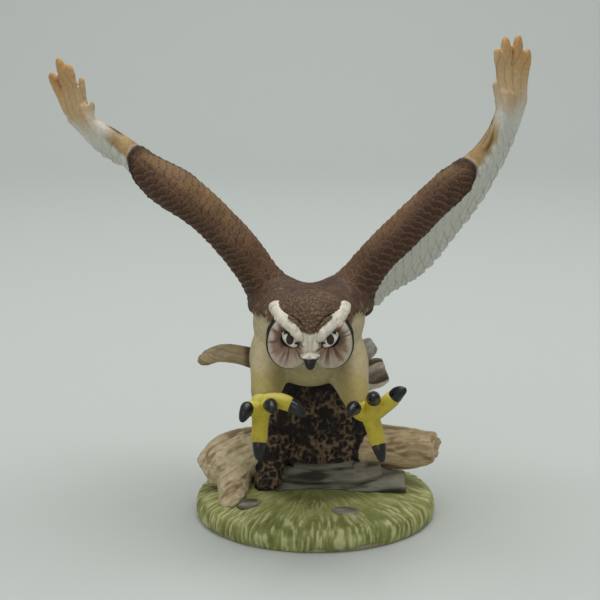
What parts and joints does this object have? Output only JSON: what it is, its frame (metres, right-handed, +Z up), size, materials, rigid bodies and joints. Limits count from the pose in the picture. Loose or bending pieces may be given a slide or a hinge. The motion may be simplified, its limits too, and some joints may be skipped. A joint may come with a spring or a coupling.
{
  "type": "owl figurine",
  "caption": "Hand-painted bisque porcelain owl with raised wings and open talons, landing on a weathered stump on an oval grass base.",
  "frame": {"origin": "centre of the oval grass base's flat underside, on the surface that it stands on", "axes": "+X to the owl's left, +Y towards its tail (the owl faces -Y), +Z up"},
  "size_m": [0.1739, 0.0996, 0.1736],
  "materials": {
    "grass_base": "matte fired paint, grass green with pale strokes",
    "grey_stone": "matte fired paint, grey",
    "dark_bark": "matte fired paint, dark brown with cream dry-brushing",
    "pale_wood": "matte fired paint, cream and tan with brown grain",
    "grey_wood": "matte fired paint, grey-cream",
    "cream_breast": "matte fired paint, cream",
    "brown_plumage": "matte fired paint, brown with darker feather edges",
    "face_disc": "matte fired paint, pinkish brown with dark strokes",
    "white_brow": "matte white bisque",
    "black_beak": "satin black paint",
    "painted_eye": "satin fired paint, grey-white with a dark pupil",
    "wing_plumage": "matte fired paint, brown above and white below",
    "primary_feathers": "matte fired paint, tan fading to white",
    "cream_thigh": "matte fired paint, cream",
    "yellow_foot": "matte fired paint, lemon yellow",
    "black_claw": "glossy black paint",
    "tail_plumage": "matte fired paint, barred brown"
  },
  "bodies": {
    "root": {"base_mound": "grass_base", "rock_ledge": "grey_stone", "stone_side": "grey_stone", "stone_front": "grey_stone", "trunk": "dark_bark", "root": "pale_wood", "log": "pale_wood", "branch_right": "pale_wood", "branch_stub": "grey_wood", "branch_knob": "grey_wood", "torso": "cream_breast", "mantle": "brown_plumage", "head": "brown_plumage", "face_disc_left": "face_disc", "face_disc_right": "face_disc", "brow_left": "white_brow", "brow_right": "white_brow", "beak": "black_beak", "eye_left": "painted_eye", "eye_right": "painted_eye", "wing_left": "wing_plumage", "wing_right": "wing_plumage", "primaries_left": "primary_feathers", "primaries_right": "primary_feathers", "thigh_left": "cream_thigh", "thigh_right": "cream_thigh", "foot_left": "yellow_foot", "foot_right": "yellow_foot", "claws_left": "black_claw", "claws_right": "black_claw", "tail": "tail_plumage"}
  },
  "joints": []
}
